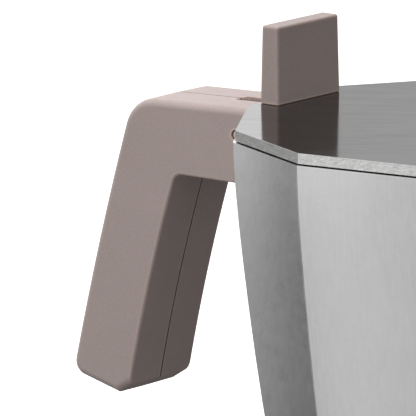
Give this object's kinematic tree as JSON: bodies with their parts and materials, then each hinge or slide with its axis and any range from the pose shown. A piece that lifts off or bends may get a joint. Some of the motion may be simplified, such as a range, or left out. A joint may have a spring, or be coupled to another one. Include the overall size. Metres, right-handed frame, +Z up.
{
  "type": "moka pot",
  "caption": "Faceted stove-top moka pot: flared boiler with safety valve, upper chamber with beak spout, flat hinged lid with slab knob, and a square hook handle.",
  "frame": {"origin": "centre of the base's underside, where the pot stands", "axes": "+Z up, +X towards the spout, handle on -X, +Y to the left of a user who looks from handle to spout"},
  "size_m": [0.1485, 0.0956, 0.1655],
  "materials": {
    "boiler_aluminium": "cast, finely satin",
    "chamber_aluminium": "cast, finely satin facets",
    "lid_aluminium": "rolled plate, polished satin",
    "handle_plastic": "satin moulded, warm grey",
    "knob_plastic": "satin moulded, warm grey",
    "steel_pin": "turned, domed ends",
    "steel_screws": "plain zinc",
    "spring_steel": "drawn wire",
    "valve_brass": "turned",
    "washer_copper": "soft annealed",
    "gasket_silicone": "matt",
    "filter_aluminium": "pressed sheet",
    "funnel_aluminium": "drawn sheet",
    "column_aluminium": "turned"
  },
  "bodies": {
    "boiler": {"boiler": "boiler_aluminium", "valve_washer": "washer_copper", "valve_body": "valve_brass", "valve_retainer": "valve_brass", "valve_spring": "spring_steel"},
    "valve_stem": {"valve_plunger": "valve_brass"},
    "funnel": {"funnel": "funnel_aluminium", "funnel_sieve": "funnel_aluminium"},
    "seal_pack": {"gasket": "gasket_silicone", "filter_plate": "filter_aluminium"},
    "upper": {"upper_chamber": "chamber_aluminium", "coffee_column": "column_aluminium", "column_cap": "column_aluminium", "handle_shell_left": "handle_plastic", "handle_shell_right": "handle_plastic", "handle_screw": "steel_screws", "hinge_pin": "steel_pin"},
    "lid": {"lid_plate": "lid_aluminium", "hinge_bracket": "lid_aluminium", "bracket_rivets": "lid_aluminium", "knob": "knob_plastic", "knob_inserts": "valve_brass", "knob_screws": "steel_screws"}
  },
  "joints": [
    {"name": "valve_lift", "type": "slide", "parent": "boiler", "child": "valve_stem", "axis": [0.1423, -0.9898, 0], "range_m": [0, 0.0015], "stiffness_N_per_m": 1500, "springref_m": -0.003, "deforming": ["valve_spring"]},
    {"name": "funnel_lift", "type": "slide", "parent": "boiler", "child": "funnel", "axis": [0, 0, 1], "range_m": [0, 0.09]},
    {"name": "chamber_lift", "type": "slide", "parent": "funnel", "child": "seal_pack", "axis": [0, 0, 1], "range_m": [0, 0.0076]},
    {"name": "chamber_unscrew", "type": "hinge", "parent": "seal_pack", "child": "upper", "pos_m": [0, 0, 0.074], "axis": [0, 0, 1], "range_deg": [0, 900]},
    {"name": "lid_hinge", "type": "hinge", "parent": "upper", "child": "lid", "pos_m": [-0.0499, 0, 0.1429], "axis": [0, -1, 0], "range_deg": [0, 90]}
  ],
  "couplings": [
    {"joint": "chamber_lift", "follows": "chamber_unscrew", "m_per_rad": 0.00047746}
  ]
}
